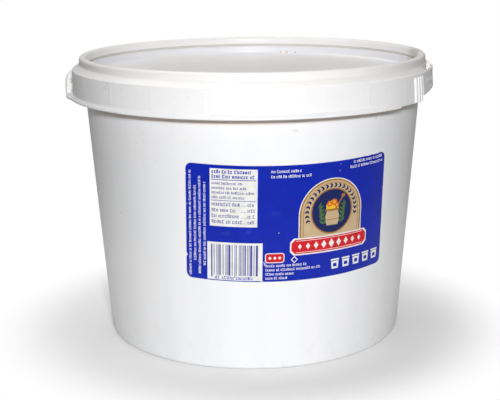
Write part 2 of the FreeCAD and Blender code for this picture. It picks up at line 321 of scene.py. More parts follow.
# %% Skirt and lip
DROPS = [1.1, 1.5, 1.8, 2.05, 2.25, 2.36, 2.4, 2.44, 2.55, 2.75, 3.1, 3.7, 4.5, 5.3, 6.0, 6.9, 7.1,
         8.1, 9.1, 9.3, 10.5, 11.5, 12.3, 13.0, 13.25, 13.5, 13.8, 14.15, 14.35]
LIP_STEPS = [(0.03, 2.85, 0), (0.12, 2.68, 0), (0.5, 2.05, 0), (0.9, 1.4, 0), (0.985, 1.22, 0),
             (1, 1.05, 0), (1, 0.7, 0), (1, 0.45, 0.046), (1, 0.24, 0.173), (1, 0.1, 0.34),
             (1, 0.03, 0.5), (1, 0, 0.7)]
LEVELS = [(0, ledge - drop, 0) for drop in DROPS]
LEVELS += [(share, lip + rise, back) for share, rise, back in LIP_STEPS]
SINKS = ((ledge - 9.3, ledge - 6.9), (lip + 0.9, lip + 3.3))
RIB_HEIGHT = 0.08


def lug_reach(height):
    """How far the lug stands out of the skirt: a long curve at the top, a short one at the foot."""
    if height >= lug_top:
        return 0
    above = max(height - (lug_top - 8.0), 0) / 8.0
    below = max(lip + 3.0 - height, 0) / 3.0
    full = lug_radius - skirt + 0.45
    return full * (0.18 + 0.82 * math.sqrt(1 - above ** 2)) - 0.6 * below ** 2


def embossed(angle, height):
    """Two rows of low marks on the tab's face, where such lids carry their opening hint."""
    along = (angle - POCKET[0]) / 2.1
    blocks = between(along % 1, 0.12, 0.86, 0.2) * between(along, 0, 5, 0.1)
    upper = between(height, ledge - 6.9, ledge - 4.1, 0.8)
    lower = between(height, ledge - 11.1, ledge - 8.9, 0.8) * between(along, 1, 4, 0.1)
    return 0.3 * blocks * max(upper, lower)


def skirt_points(angle):
    """The points down the skirt and round the lip, and the height of the lip's edge."""
    base = lip + tab_rise(angle) + LUG_LIFT * lug_hollow(angle)
    rib = RIB_HEIGHT * bar(angle, RIBS, 0.22, 0.4)
    grip = max(size * bar(angle, [centre], 0.25, 0.88) for centre, size in GRIP_HEIGHTS.items())
    wide = flare(angle)
    pulled = splay(angle)
    end, corner = lug(angle)
    shallow = between(angle, LUG[1] - 0.02, LUG[1] + 0.001, 0.001)
    points = []
    for share, height, back in LEVELS:
        if height < lug_top:
            height = base + (height - lip) * (lug_top - base) / (lug_top - lip)
        foot = pulled * eased(height, ledge - 0.8, lip)
        radius = skirt + foot + max(wide - foot, 0) * share - back
        radius += rib * between(height, lip + 4.0, ledge - 1.9, 0.35)
        radius += grip * between(height, lip + 0.4, ledge - 1.2, 1.4)
        radius += embossed(angle, height)
        own = radius - skirt
        reach = max(lug_reach(height), own)
        face = max(min(reach, 2.5 + 0.06 * (lug_top - height)), own)
        radius += (face - own) * end + (reach - face) * corner
        sink = max(between(height, low, high, 0.3) for low, high in SINKS)
        points.append((radius, height, -0.4 * sink * shallow))
    return points, base


print(f"{len(skirt_points(0)[0])} points down the skirt, which ends at {skirt_points(75)[1]:.1f}"
      f" mm along the tab and {skirt_points(0)[1]:.1f} mm elsewhere")

# %% [markdown]
# Under the lip the line turns inwards. Behind the lug it first makes a detour, up into the hollow
# that a fingertip reaches from below, and everywhere else the same points lie flat under the lip.
# The rest of the line is the inside of the moulding, which bulges down under the pocket.

# %% The edge and the inside
HOLLOW = [(3.0, 0.35), (2.85, 5), (2.75, 10.4), (2.4, 10.7), (0.5, 10.7), (0.12, 10.4), (0.06, 5),
          (0.02, -0.4), (-0.15, -0.72)]


def inside_points(angle, edge_radius, base):
    """Back from the lip's edge, up behind the skirt, over the pail's rim and in to the axis."""
    hollow = lug_hollow(angle)
    bulge = POCKET_DEPTH * between(angle, POCKET[0] - 0.9, POCKET[1] + 0.9, 0.4)
    points = []
    for index, (reach, rise) in enumerate(HOLLOW):
        share = (index + 1) / (len(HOLLOW) + 1)
        flat = edge_radius + (skirt - 1.1 - edge_radius) * share
        points.append((flat + (skirt + reach - flat) * hollow, base + rise * hollow, 0))
    base -= LUG_LIFT * hollow
    back = skirt - MOULDING
    ring = back - LEDGE_REACH
    under_ledge, under_ring, under_panel = (level - MOULDING for level in (ledge, lid_top, panel_level))
    points += [(back + 0.3, base, 0), (back + 0.08, base + 0.1, 0), (back, base + 0.35, 0)]
    points += [(back, base + (under_ledge - base) * share, 0) for share in (0.35, 0.65)]
    points += [(back, under_ledge - 0.3 - bulge, 0), (back - 0.25, under_ledge - bulge, 0)]
    points += [(ring + 0.3, under_ledge - bulge, 0), (ring, under_ledge + 0.3, 0)]
    points += [(ring, under_ring - 0.2, 0), (ring - 0.2, under_ring, 0)]
    points += [(ring - 1.4, under_ring, 0), (ring - 1.6, under_ring - 0.2, 0)]
    points += [(ring - 1.6, lid_top - 5.4, 0), (ring - 2.6, lid_top - 5.8, 0)]
    points += [(ring - 2.6, under_panel + 0.1, 0), (ring - 2.9, under_panel, 0)]
    points += [(50, under_panel, 0), (0, under_panel, 0)]
    return points


def lid_section(angle):
    outside, base = skirt_points(angle)
    outside = panel_and_ring() + ledge_points(angle) + outside
    return outside + inside_points(angle, outside[-1][0], base)


lid = turned("lid_moulding", kept, lid_section)

# %% [markdown]
# ## The label's paper plan
# A label is easiest to lay out flat, as it was printed: so many millimetres along from its left
# edge and so many up from its lower edge. A straight strip laid round a tapered wall rises towards
# its ends, so `wrapped` adds that rise before it turns a place on the plan into a point on the wall.

# %% From the plan to the wall
LABEL_WIDTH, LABEL_HEIGHT, LABEL_RISE, LABEL_THICK = 125.5, 69.3, 1.45, 0.2
label_foot = label_high.z / MM - LABEL_RISE - LABEL_HEIGHT
upper_radius = wall_radius(label_high.z / MM) + LABEL_THICK
middle_radius = wall_radius(label_foot + LABEL_HEIGHT / 2)
half_chord = middle_radius * math.sin(LABEL_WIDTH / 2 / middle_radius)
label_angle = math.degrees(math.asin(label_high.x / MM / upper_radius)
                           - math.asin(half_chord / upper_radius))


def wrapped(along, up, lift):
    offset = along - LABEL_WIDTH / 2
    height = label_foot + up + LABEL_RISE * (offset / (LABEL_WIDTH / 2)) ** 2
    radius = wall_radius(height)
    return at(label_angle + math.degrees(offset / radius), radius + lift, height)


print(f"the label's middle is {label_angle:.1f} degrees round and its foot {label_foot:.1f} mm up")

# %% [markdown]
# ## Flat shapes
# Everything printed on the label is a flat outline, and most are boxes, discs or leaves. Each helper
# returns a list of places on the plan, in order round the shape.

# %% Outlines
def box(low_x, low_y, high_x, high_y, corner=0.0, steps=6):
    if not corner:
        return [(low_x, low_y), (high_x, low_y), (high_x, high_y), (low_x, high_y)]
    turns = ((high_x, low_y, -1, 1, -90), (high_x, high_y, -1, -1, 0),
             (low_x, high_y, 1, -1, 90), (low_x, low_y, 1, 1, 180))
    outline = []
    for x, y, inward_x, inward_y, start in turns:
        outline += arc(x + inward_x * corner, y + inward_y * corner, corner, start, start + 90, steps)
    return outline


def disc(x, y, radius, scallop=0.0, waves=1, steps=96):
    outline = []
    for step in range(steps):
        turn = math.tau * step / steps
        size = radius + scallop * abs(math.sin(turn * waves / 2))
        outline.append((x + size * math.cos(turn), y + size * math.sin(turn)))
    return outline


def placed(outline, x, y, degrees):
    turn = math.radians(degrees)
    return [(x + px * math.cos(turn) - py * math.sin(turn),
             y + px * math.sin(turn) + py * math.cos(turn)) for px, py in outline]


def leaf(x, y, length, width, degrees, steps=10):
    """A pointed leaf that starts at a place and lies along a direction."""
    edge = [(length * step / steps, width / 2 * math.sin(math.pi * (step / steps) ** 0.8))
            for step in range(steps + 1)]
    return placed([(px, -py) for px, py in edge] + [(px, py) for px, py in edge[-2:0:-1]],
                  x, y, degrees)


print("a leaf has", len(leaf(0, 0, 4, 1.5, 30)), "places round it")

# %% [markdown]
# ## Inks
# A printer lays down one colour after another. `ink` notes an outline under its colour and its
# layer, and nothing is made until the whole plan is ready. Then each colour becomes one mesh: the
# outlines are filled, cut every three millimetres so that they can bend round the wall, given a
# little thickness so that they are closed bodies, and wrapped. Layers are about a hundredth of a
# millimetre apart, too little to see as a step and enough to keep the order.

# %% Collecting the print
PRINT = {}
GAP, SPACE = 0.18, 0.42


def ink(colour, layer, outline):
    PRINT.setdefault(colour, []).append((layer, outline))


def bracket(width, tall, stroke, sideways):
    """Three strokes that are as heavy as a letter and open at the foot, or sideways at the right."""
    span, depth = (tall, width) if sideways else (width, tall)
    outline = [(0, 0), (stroke, 0), (stroke, depth - stroke), (span - stroke, depth - stroke),
               (span - stroke, 0), (span, 0), (span, depth), (0, depth)]
    return [(width - y, x) for x, y in outline] if sideways else outline


def words(colour, layer, x, y, length, height, seed, upright=False, bold=0.19):
    """A line of small print that says nothing: brackets and stems in groups, as long as words."""
    chance = random.Random(seed)
    stroke = height * bold
    place = 0.0
    while place < length - height * 0.6:
        for _ in range(chance.randint(2, 9)):
            width = height * chance.uniform(0.38, 0.62)
            if place + width > length:
                return
            tall = height * chance.choice((0.78, 0.78, 1.0))
            kind = chance.randrange(4)
            if kind == 0:
                width = stroke
                mark = box(0, 0, stroke, tall)
            else:
                mark = bracket(width, tall, stroke, kind > 1)
            lead = (x, y + place) if upright else (x + place, y)
            ink(colour, layer, placed(mark, *lead, 90 if upright else 0))
            place += width + height * GAP
        place += height * SPACE


# %% [markdown]
# ## Film, ground and the plain fields
# The label is a white film with a deep blue ground printed almost to its edge. The ground is nicked
# at the left, where the film was pulled, and ragged at the top right. On it lie a white panel for
# the figures, a white box for the bars, and small print in lines up the left side, beside the box
# and along the top.

# %% Laying out the fields
def ground_outline():
    """Four corners of nine places, with a ragged stretch at the top right and nicks at the left."""
    margin = 0.45
    top = LABEL_HEIGHT - margin
    outline = box(margin, margin, LABEL_WIDTH - margin, top, 3.6, 8)
    ragged = [(119.6, top + 0.2), (118.4, top - 0.35), (116.9, top + 0.1), (115.6, top - 0.3),
              (113.8, top + 0.15), (111.5, top - 0.2), (108, top)]
    nicks = [(margin, 63.0), (0.9, 62.4), (margin, 61.8), (margin, 15.6), (0.95, 14.6),
             (1.35, 14.1), (0.8, 13.6), (margin, 12.9)]
    return outline[:18] + ragged + outline[18:27] + nicks + outline[27:]


ink("film", 0, box(0, 0, LABEL_WIDTH, LABEL_HEIGHT, 4.0, 8))
ink("blue", 1, ground_outline())
for x, y, length, seed in ((3.5, 2.2, 63, 11), (6.5, 11.5, 45, 12), (9.3, 3.7, 59, 13),
                           (12.2, 9.0, 50, 14)):
    words("white", 2, x, y, length, 1.4, seed, upright=True)

# The white panel with its heading, rules and rows of figures.
ink("white", 2, box(14.75, 33.2, 41.65, 66.8))
for y, length, seed in ((64.0, 22.5, 21), (61.3, 24.8, 22)):
    words("blue", 3, 15.9, y, length, 2.0, seed, bold=0.24)
for y, thick in ((60.2, 0.4), (48.2, 0.3)):
    ink("blue", 3, box(15.7, y, 40.8, y + thick))
for y, length, seed in ((57.6, 18, 23), (54.9, 20, 24), (52.2, 24.5, 25), (49.5, 20, 26)):
    words("slate", 3, 15.9, y, length, 1.5, seed)
for y, length, seed in ((45.2, 16, 27), (41.8, 14, 28), (38.4, 17, 29), (35.0, 18, 30)):
    words("slate", 3, 15.9, y, length, 1.9, seed)
    words("slate", 3, 36.2, y, 4.6, 1.9, seed + 40)
    for dot in range(4):
        ink("slate", 3, box(32.6 + 0.85 * dot, y, 32.95 + 0.85 * dot, y + 0.35))

# The white box with upright bars of chance widths, and a row of blocks under them.
ink("white", 2, box(13.2, 1.0, 44.8, 23.7))
chance = random.Random(5)
x = 15.4
while x < 42.4:
    width = chance.choice((0.4, 0.4, 0.8, 1.2))
    foot = 2.6 if x < 16.2 or x > 41.4 or abs(x - 29) < 0.7 else 3.9
    ink("slate", 3, box(x, foot, x + width, 22.4))
    x += width + chance.choice((0.4, 0.4, 0.8, 1.2))
words("blue", 3, 17.6, 1.5, 23.5, 1.9, 6)

# Lines of small print beside the box and along the top.
for y, length, seed in ((9.3, 24, 51), (6.8, 33, 52), (4.3, 17, 53), (1.8, 13.5, 54)):
    words("white", 2, 46.6, y, length, 1.5, seed)
for x, y, length, seed in ((49.2, 64.7, 18, 55), (49.2, 61.7, 23.7, 56), (99.6, 66.2, 23.4, 57),
                           (97.2, 63.4, 25.8, 58)):
    words("white", 2, x, y, length, 1.6, seed)
print({colour: len(shapes) for colour, shapes in PRINT.items()})

# %% [markdown]
# ## The picture
# The label's eye-catcher is an arched niche on a red plinth: a white edge, gold rims and a tan
# field, with a garland of small leaves that follows the arch. In its dark blue disc stands a crock
# of mustard with a wooden spoon, between two leafy sprigs. The plinth carries a row of diamonds.

# %% Drawing the niche
ART_X, ART_Y = 85.8, 40.4


def art(colour, layer, outline):
    ink(colour, layer, placed(outline, ART_X, ART_Y, 0))


for colour, layer, half in (("white", 3, 20.6), ("gold", 4, 20.0), ("tan", 5, 19.1),
                            ("gold", 6, 18.0), ("tan", 7, 17.65)):
    art(colour, layer, [(-half, -17.0), (half, -17.0)] + arc(0, -1.6, half, 0, 180, 48))
for colour, layer, radius in (("gold", 8, 13.5), ("navy", 9, 12.7)):
    art(colour, layer, disc(0, -0.4, radius))
for index in range(21):
    turn = -12 + index * 10.2
    for side in (-1, 1):
        x, y = arc(0, -1.0, 15.7 + side * 0.2, turn, turn, 1)[0]
        art("navy", 8, leaf(x, y, 2.5, 1.1, turn + 90 + side * 40))

# The crock, its heap of mustard, the spoon and the sprigs.
art("tan", 11, [(-4.2, -6.6), (-3.5, -8.8), (3.5, -8.8), (4.2, -6.6), (4.4, -3.0), (3.6, -0.8),
                (3.8, 0.1), (-3.8, 0.1), (-3.6, -0.8), (-4.4, -3.0)])
art("gold", 12, box(-4.5, -0.4, 4.5, 0.8))
art("gold", 12, box(-4.2, -5.6, 4.2, -5.2))
art("yellow", 10, disc(0, 1.8, 3.8, 0.5, 10, 60))
for x, y, size in ((-1.9, 3.9, 1.5), (1.2, 4.7, 1.7), (2.9, 2.8, 1.2)):
    art("orange", 11, disc(x, y, size, 0.35, 5, 40))
    art("yellow", 12, disc(x, y, size * 0.45, steps=20))
art("gold", 9.5, placed(box(-0.45, 0, 0.45, 9.0, 0.4, 3), 2.0, 0.4, -34))
art("gold", 9.5, placed(disc(0, 0, 1.2, steps=24), 7.0, 7.9, 0))
for side in (-1, 1):
    for index in range(5):
        x = side * (5.4 + 0.75 * index)
        y = -7.6 + 2.3 * index
        art("green", 9.5, leaf(x, y, 4.0, 1.6, 90 - side * (48 - 16 * index)))
        art("green", 9.5, leaf(x, y, 3.4, 1.4, 90 + side * (34 + 6 * index)))

# The plinth: a white line round red with cut corners, gold rules, and diamonds that shrink outwards.
for colour, layer, out in (("white", 9, 0.8), ("red", 10, 0.0)):
    half, low, high, cut = 24.6 + out, -24.0 - out, -15.4 + out, 2.2
    art(colour, layer, [(-half + cut, low), (half - cut, low), (half, low + cut),
                        (half, high - cut), (half - cut, high), (-half + cut, high),
                        (-half, high - cut), (-half, low + cut)])
for low in (-23.3, -16.4):
    art("white", 11, box(-21.8, low, 21.8, low + 0.3))
for index in range(-4, 5):
    size = 2.7 - 0.25 * abs(index)
    art("white", 11, placed([(-size * 0.66, 0), (0, -size), (size * 0.66, 0), (0, size)],
                            index * 4.9, -19.7, 0))
print("the picture brings it to", sum(len(shapes) for shapes in PRINT.values()), "shapes")

# %% [markdown]
# ## Small marks and wear
# A red lozenge and an open diamond sit above the foot lines. At the lower right, where a pack gives
# its fill, stands a row of five little pails, one for each litre. The film has been scuffed: a few
# white nicks show where the ink has come away.

# %% Marks and nicks
ink("white", 2, box(46.2, 11.7, 57.3, 17.7, 1.6))
ink("red", 3, box(46.7, 12.2, 56.8, 17.2, 1.2))
for index in range(3):
    ink("white", 4, disc(49.0 + 2.8 * index, 14.7, 0.8, steps=20))
for colour, layer, half in (("white", 2, 1.5), ("blue", 3, 1.0)):
    ink(colour, layer, placed(box(-half, -half, half, half), 63.1, 13.2, 45))
for index in range(5):
    x = 88.6 + 7.6 * index
    ink("white", 2, [(x - 2.1, 4.6), (x + 2.1, 4.6), (x + 2.55, 9.2), (x - 2.55, 9.2)])
    ink("white", 2, box(x - 2.85, 9.6, x + 2.85, 10.6, 0.3, 3))
    ink("blue", 3, box(x - 1.2, 5.8, x + 1.2, 7.9))
for colour, x, y, length, width, degrees in (
        ("white", 44.9, 12.6, 2.6, 0.45, -38), ("white", 45.8, 11.2, 1.2, 0.6, -70),
        ("white", 53.5, 29.5, 0.8, 0.45, 20), ("white", 43.3, 0.7, 2.6, 0.35, 4),
        ("tan", 90.4, 67.3, 0.9, 0.3, -75), ("tan", 90.2, 63.6, 1.1, 0.3, -100),
        ("white", 1.0, 44.2, 0.9, 0.35, 80)):
    ink(colour, 4, leaf(x, y, length, width, degrees, 4))
print("shapes in all:", sum(len(shapes) for shapes in PRINT.values()))

# %% [markdown]
# ## From outlines to closed inks
# `printed` does the making. Filling comes first, with triangles, because a triangle can be cut by a
# straight line without going wrong. Then the bisects, the extrusion that gives the thickness, and
# last the wrap, which moves every vertex from the plan to the wall.

# %% Making the inks
FILM_TOP, LAYER, THICK, BEND = 0.13, 0.012, 0.006, 3


def printed(colour):
    sheet = bmesh.new()
    for layer, outline in PRINT[colour]:
        bottom = 0.0 if colour == "film" else FILM_TOP + LAYER * layer - THICK
        top = FILM_TOP if colour == "film" else bottom + THICK
        flat = [Vector((x, y, 0)) for x, y in outline]
        corners = [sheet.verts.new((x, y, bottom)) for x, y in outline]
        filled = []
        for triangle in geometry.tessellate_polygon([flat]):
            first, second, third = (flat[index] for index in triangle)
            if (second - first).cross(third - first).length > 1e-9:
                filled.append(sheet.faces.new([corners[index] for index in triangle]))
        region = filled + [edge for face in filled for edge in face.edges] + corners
        region = list(dict.fromkeys(region))
        along = [x for x, y in outline]
        cut = math.ceil(min(along) / BEND) * BEND
        while cut < max(along):
            made = bmesh.ops.bisect_plane(sheet, geom=region, dist=1e-5, plane_co=(cut, 0, 0),
                                          plane_no=(1, 0, 0))
            region = list(dict.fromkeys(made["geom"] + made["geom_cut"]))
            cut += BEND
        faces = [part for part in region if isinstance(part, bmesh.types.BMFace)]
        grown = bmesh.ops.extrude_face_region(sheet, geom=faces, use_keep_orig=True)
        for part in grown["geom"]:
            if isinstance(part, bmesh.types.BMVert):
                part.co.z = top
    bmesh.ops.recalc_face_normals(sheet, faces=sheet.faces)
    for vertex in sheet.verts:
        vertex.co = wrapped(*vertex.co)
    name = "label_film" if colour == "film" else f"print_{colour}"
    mesh = bpy.data.meshes.new(name)
    sheet.to_mesh(mesh)
    sheet.free()
    print(f"{name}: {len(PRINT[colour])} shapes, {len(mesh.polygons)} faces")
    return placed_in_scene(name, mesh)


label = {colour: printed(colour) for colour in PRINT}

# %% [markdown]
# ## Writing materials as sums
# A material is a net of nodes, and a net of Math nodes is hard to read. `Wire` stands for one
# output and knows the arithmetic, so that `1 - mask * 0.3` adds the nodes by itself. `Net` is the
# tree that the nodes live in. Any node comes from its one method `node`, which takes the node's
# type, its settings and what goes into its sockets. `Paint` is a material's net, with the patterns
# that plastics and film share.

# %% Wires and paints
class Wire:
    """One output of a node, with the arithmetic that paints need, either way round."""

    def __init__(self, net, socket):
        self.net = net
        self.socket = socket

    def sum(self, operation, first, second):
        return self.net.node("ShaderNodeMath", {"operation": operation}, {0: first, 1: second})

    def __add__(self, other):
        return self.sum("ADD", self, other)

    def __radd__(self, other):
        return self.sum("ADD", other, self)

    def __sub__(self, other):
        return self.sum("SUBTRACT", self, other)

    def __rsub__(self, other):
        return self.sum("SUBTRACT", other, self)

    def __mul__(self, other):
        return self.sum("MULTIPLY", self, other)

    def __rmul__(self, other):
        return self.sum("MULTIPLY", other, self)


class Net:
    """A tree of nodes, with the one way to add to it."""

    def __init__(self, tree):
        self.tree = tree

    def node(self, kind, settings=None, sockets=None, output=0):
        made = self.tree.nodes.new(kind)
        for name, value in (settings or {}).items():
            setattr(made, name, value)
        for name, value in (sockets or {}).items():
            self.join(made.inputs[name], value)
        return Wire(self, made.outputs[output])

    def join(self, socket, value):
        if isinstance(value, Wire):
            self.tree.links.new(value.socket, socket)
        else:
            socket.default_value = value

    def layered(self, share, first, second):
        """Two shaders, mixed by a number."""
        return self.node("ShaderNodeMixShader", {}, {0: share, 1: first, 2: second})


class Paint(Net):
    """A material's net, and the place on the piece that its patterns read."""

    def __init__(self, name):
        self.material = bpy.data.materials.new(name)
        self.material.use_nodes = True
        super().__init__(self.material.node_tree)
        self.shader = self.tree.nodes["Principled BSDF"]
        self.spot = self.node("ShaderNodeTexCoord", output="Object")
        self.z = self.node("ShaderNodeSeparateXYZ", {}, {"Vector": self.spot}, "Z")

    def step(self, value, low, high):
        """0 below low, 1 above high and soft between; low may be the larger."""
        return self.node("ShaderNodeMapRange", {"interpolation_type": "SMOOTHSTEP"},
                         {"Value": value, "From Min": low, "From Max": high})

    def vector(self, operation, inputs, output=0):
        return self.node("ShaderNodeVectorMath", {"operation": operation}, inputs, output)

    def noise(self, scale, detail, stretch=(1, 1, 1)):
        """A cloudy pattern from 0 to 1, with so many features to the metre along each axis."""
        place = self.vector("MULTIPLY", {0: self.spot, 1: stretch})
        return self.node("ShaderNodeTexNoise", {},
                         {"Vector": place, "Scale": scale, "Detail": detail})

    def blend(self, share, first, second):
        """Two colours, in sockets 6 and 7, mixed by a number; output 2 is the mix."""
        return self.node("ShaderNodeMix", {"data_type": "RGBA"},
                         {0: share, 6: first, 7: second}, 2)

    def near(self, place, size, tall=1.0):
        """1 at a place on the piece, fading to 0 at a distance from it; tall stretches it in Z."""
        apart = self.vector("SUBTRACT", {0: self.spot, 1: place})
        evened = self.vector("MULTIPLY", {0: apart, 1: (1, 1, 1 / tall)})
        away = self.vector("LENGTH", {0: evened}, "Value")
        return self.step(away, size * MM, size * MM * 0.35)

    def finish(self, sockets, bump, strength, distance=0.0002):
        """Fill the shader's sockets, its Normal with a bump."""
        for name, value in sockets.items():
            self.join(self.shader.inputs[name], value)
        normal = self.node("ShaderNodeBump", {}, {"Strength": strength, "Distance": distance,
                                                  "Height": bump}, "Normal")
        self.join(self.shader.inputs["Normal"], normal)
        return self.material


def tint(red, green, blue):
    """A colour as it looks on a screen, 0 to 255, as the light that a shader works in."""
    shares = [value / 255 for value in (red, green, blue)]
    return (*(share / 12.92 if share < 0.04 else ((share + 0.055) / 1.055) ** 2.4
              for share in shares), 1.0)


print("middle grey is", [round(value, 3) for value in tint(128, 128, 128)])

# %% [markdown]
# ## The pail's plastic
# The pail is white polyethylene, a little cool in tone. Close up it isn't even: the melt leaves
# faint upright streaks, handling leaves a few specks, smears of mustard and dull scuffs, most of
# these near the foot, and the surface has a fine pebble that softens its gloss. A warm brown shade
# is painted on the wall under the lip, where the lip's shadow falls. Each of those is a mask that
# shifts the colour, the roughness or both a little.

# %% Cool white plastic
def cool_white():
    paint = Paint("cool_white_plastic")
    streak = paint.noise(60, 3, (1, 1, 0.06))
    cloud = paint.noise(14, 2)
    scuff = paint.step(paint.z, 0.03, 0.002) * paint.step(paint.noise(190, 4, (1, 1, 0.35)), 0.52, 0.72)
    rub = paint.step(paint.noise(75, 4, (1, 1, 2.5)), 0.66, 0.8)
    speck = paint.step(paint.noise(520, 1), 0.8, 0.84)
    for angle, height, size in ((42.4, 146.0, 1.0), (-52, 88, 0.9), (58, 61, 0.8), (171, 97, 1.2),
                                (-128, 44, 1.0)):
        speck = speck + paint.near(at(angle, wall_radius(height), height), size)
    smear = sum(paint.near(at(angle, wall_radius(height), height), size, tall)
                for angle, height, size, tall in (
                    (-36.8, 139.9, 0.6, 3.5), (-37.0, 134.8, 0.6, 3.5), (12.9, 143.4, 2.2, 0.5),
                    (-44.5, 138.0, 0.8, 1.0), (-21, 136.5, 1.0, 0.6)))
    clean = paint.blend(paint.step(streak * 0.6 + cloud * 0.4, 0.3, 0.7),
                        tint(238, 240, 243), tint(245, 246, 248))
    worn = paint.blend(scuff * 0.14 + rub * 0.06, clean, tint(196, 193, 188))
    smeared = paint.blend(paint.step(smear, 0, 1) * 0.3, worn, tint(200, 192, 150))
    spotted = paint.blend(paint.step(speck, 0, 1) * 0.3, smeared, tint(140, 128, 112))
    # Painted shade: a warm brown band on the wall just under the lip, where the lip casts its shadow.
    shadow_under_lip = paint.step(paint.z, (lip - 5.0) * MM, (lip - 3.0) * MM)
    shaded_under_lip = paint.blend(shadow_under_lip * 0.5, spotted, tint(215, 186, 168))
    rough = 0.34 + 0.1 * cloud + 0.08 * scuff + 0.05 * rub
    pebble = paint.noise(1500, 2) * 0.5 + streak * 0.8
    return paint.finish({"Base Color": shaded_under_lip, "Roughness": rough, "IOR": 1.5}, pebble, 0.18)


pail.data.materials.append(cool_white())
print("the pail's paint has", len(pail.data.materials[0].node_tree.nodes), "nodes")

# %% [markdown]
# ## The lid's plastic
# The lid is a warmer white, from another batch of resin. Its panel is painted greyer, a painted
# shade for the dimmer light on the sunk top; it is smooth and shows the flow of the melt in faint
# rings. The wall round it is cooler and the skirt fresher. Shade is painted into the fold and into
# the lug's sink marks, and a little grime lies on ledge and skirt. A yellowish-grey shade is painted
# on ring and ledge round the pocket behind the tab, fingers have left grey smudges on the skirt,
# and three grains of mustard seed cling to the wall at the back.

# %% Warm white plastic
def warm_white():
    paint = Paint("warm_white_plastic")
    cloud = paint.noise(22, 3)
    level = paint.vector("MULTIPLY", {0: paint.spot, 1: (1, 1, 0)})
    across = paint.vector("LENGTH", {0: level}, "Value")

    def out(low, high):
        """A step by distance from the axis, in millimetres from the panel's wall."""
        return paint.step(across, (panel_wall + low) * MM, (panel_wall + high) * MM)

    def up(low, high):
        """A step by height, in millimetres from the fold."""
        return paint.step(paint.z, (fold_level + low) * MM, (fold_level + high) * MM)

    ripple = paint.node("ShaderNodeMath", {"operation": "SINE"}, {0: across * 900 + cloud * 2})
    panel = out(-1.2, -2.6)
    smudge = sum(paint.near(at(angle, skirt, ledge - drop), size) * strength
                 for angle, drop, size, strength in (
                     (-47.5, 2.5, 4.5, 1), (-41, 2.9, 3.0, 0.8), (-56, 5.9, 2.2, 1), (120, 8.5, 8, 0.6)))
    smudge = smudge * paint.step(paint.noise(420, 4), 0.4, 0.66)
    grime = paint.step(paint.noise(330, 4), 0.58, 0.78) * out(4.6, 6.6)
    seed = sum(paint.near(at(angle, panel_wall - 0.2, panel_level + 0.9), size)
               for angle, size in ((168.4, 0.9), (165.8, 1.1), (162.4, 0.9)))
    # The lug's two sink marks, which get a painted shade below.
    sink = sum(paint.near(at(LUG[1], skirt + 1.1, height), size, tall)
               for height, size, tall in ((ledge - 8.3, 1.5, 1.4), (lip + 2.5, 1.3, 1.1)))
    clean = paint.blend(paint.step(cloud, 0.3, 0.7), tint(243, 242, 240), tint(248, 247, 246))
    # Painted shade: the panel is blended towards grey for the dimmer light on the sunk top, with faint
    # rings of melt flow in it.
    ringed_and_shaded = paint.blend(panel * (0.44 + 0.06 * ripple), clean, tint(222, 220, 219))
    # Painted shade in the crease of the fold at the top of the panel's wall.
    fold_shade = out(2.4, 2.1) * out(0.4, 0.9) * up(-0.2, 0) * up(1.8, 1.4)
    band = out(-0.6, -0.2) * out(1.0, 0.6)
    cooler = paint.blend(band, ringed_and_shaded, tint(236, 237, 242))
    fresh = paint.blend(out(8.9, 9.6), cooler, tint(248, 248, 249))
    # Real smudges and grime, and the painted shade in the fold, all towards one grey brown.
    soiled_and_shaded = paint.blend(smudge * 0.16 + grime * 0.06 + fold_shade * 0.38, fresh, tint(150, 140, 126))
    # Painted shade: a yellowish-grey shade on ring and ledge round the pocket behind the tab.
    pocket_shade = paint.near(at(POCKET[1] + 8, skirt - 2, ledge), 22) * out(10.2, 9.6)
    pocket_shaded = paint.blend(pocket_shade * 0.6, soiled_and_shaded, tint(176, 170, 140))
    # Painted shade: the lug's sink marks are darkened olive, as shade in their hollows.
    sunk = paint.blend(paint.step(sink, 0, 1) * 0.55, pocket_shaded, tint(148, 146, 108))
    seeded = paint.blend(paint.step(seed, 0, 1) * 0.7, sunk, tint(212, 162, 84))
    rough = 0.29 + 0.06 * cloud + 0.1 * smudge
    pebble = paint.noise(1300, 2) * 0.5 * (1 - panel)
    return paint.finish({"Base Color": seeded, "Roughness": rough, "IOR": 1.5}, pebble, 0.16)


lid.data.materials.append(warm_white())
print("the lid's paint has", len(lid.data.materials[0].node_tree.nodes), "nodes")

# %% [markdown]
# ## Film and inks
# The inks share the film's finish. It is glossy, a little wavy where it was smoothed onto the wall
# by hand, and crossed by hair-fine scratches that look pale, as do a few flat bubbles under it. A
# good print isn't even either, so each ink is mottled between two tones. One function makes all of
# them, given the colour.

# %% Printed film
COLOURS = {"film": (240, 241, 243), "blue": (4, 36, 174), "white": (240, 240, 238),
           "slate": (80, 84, 156), "gold": (164, 116, 52), "tan": (205, 180, 142),
           "navy": (20, 34, 92), "red": (214, 26, 40), "yellow": (240, 196, 48),
           "orange": (222, 112, 36), "green": (74, 108, 58)}


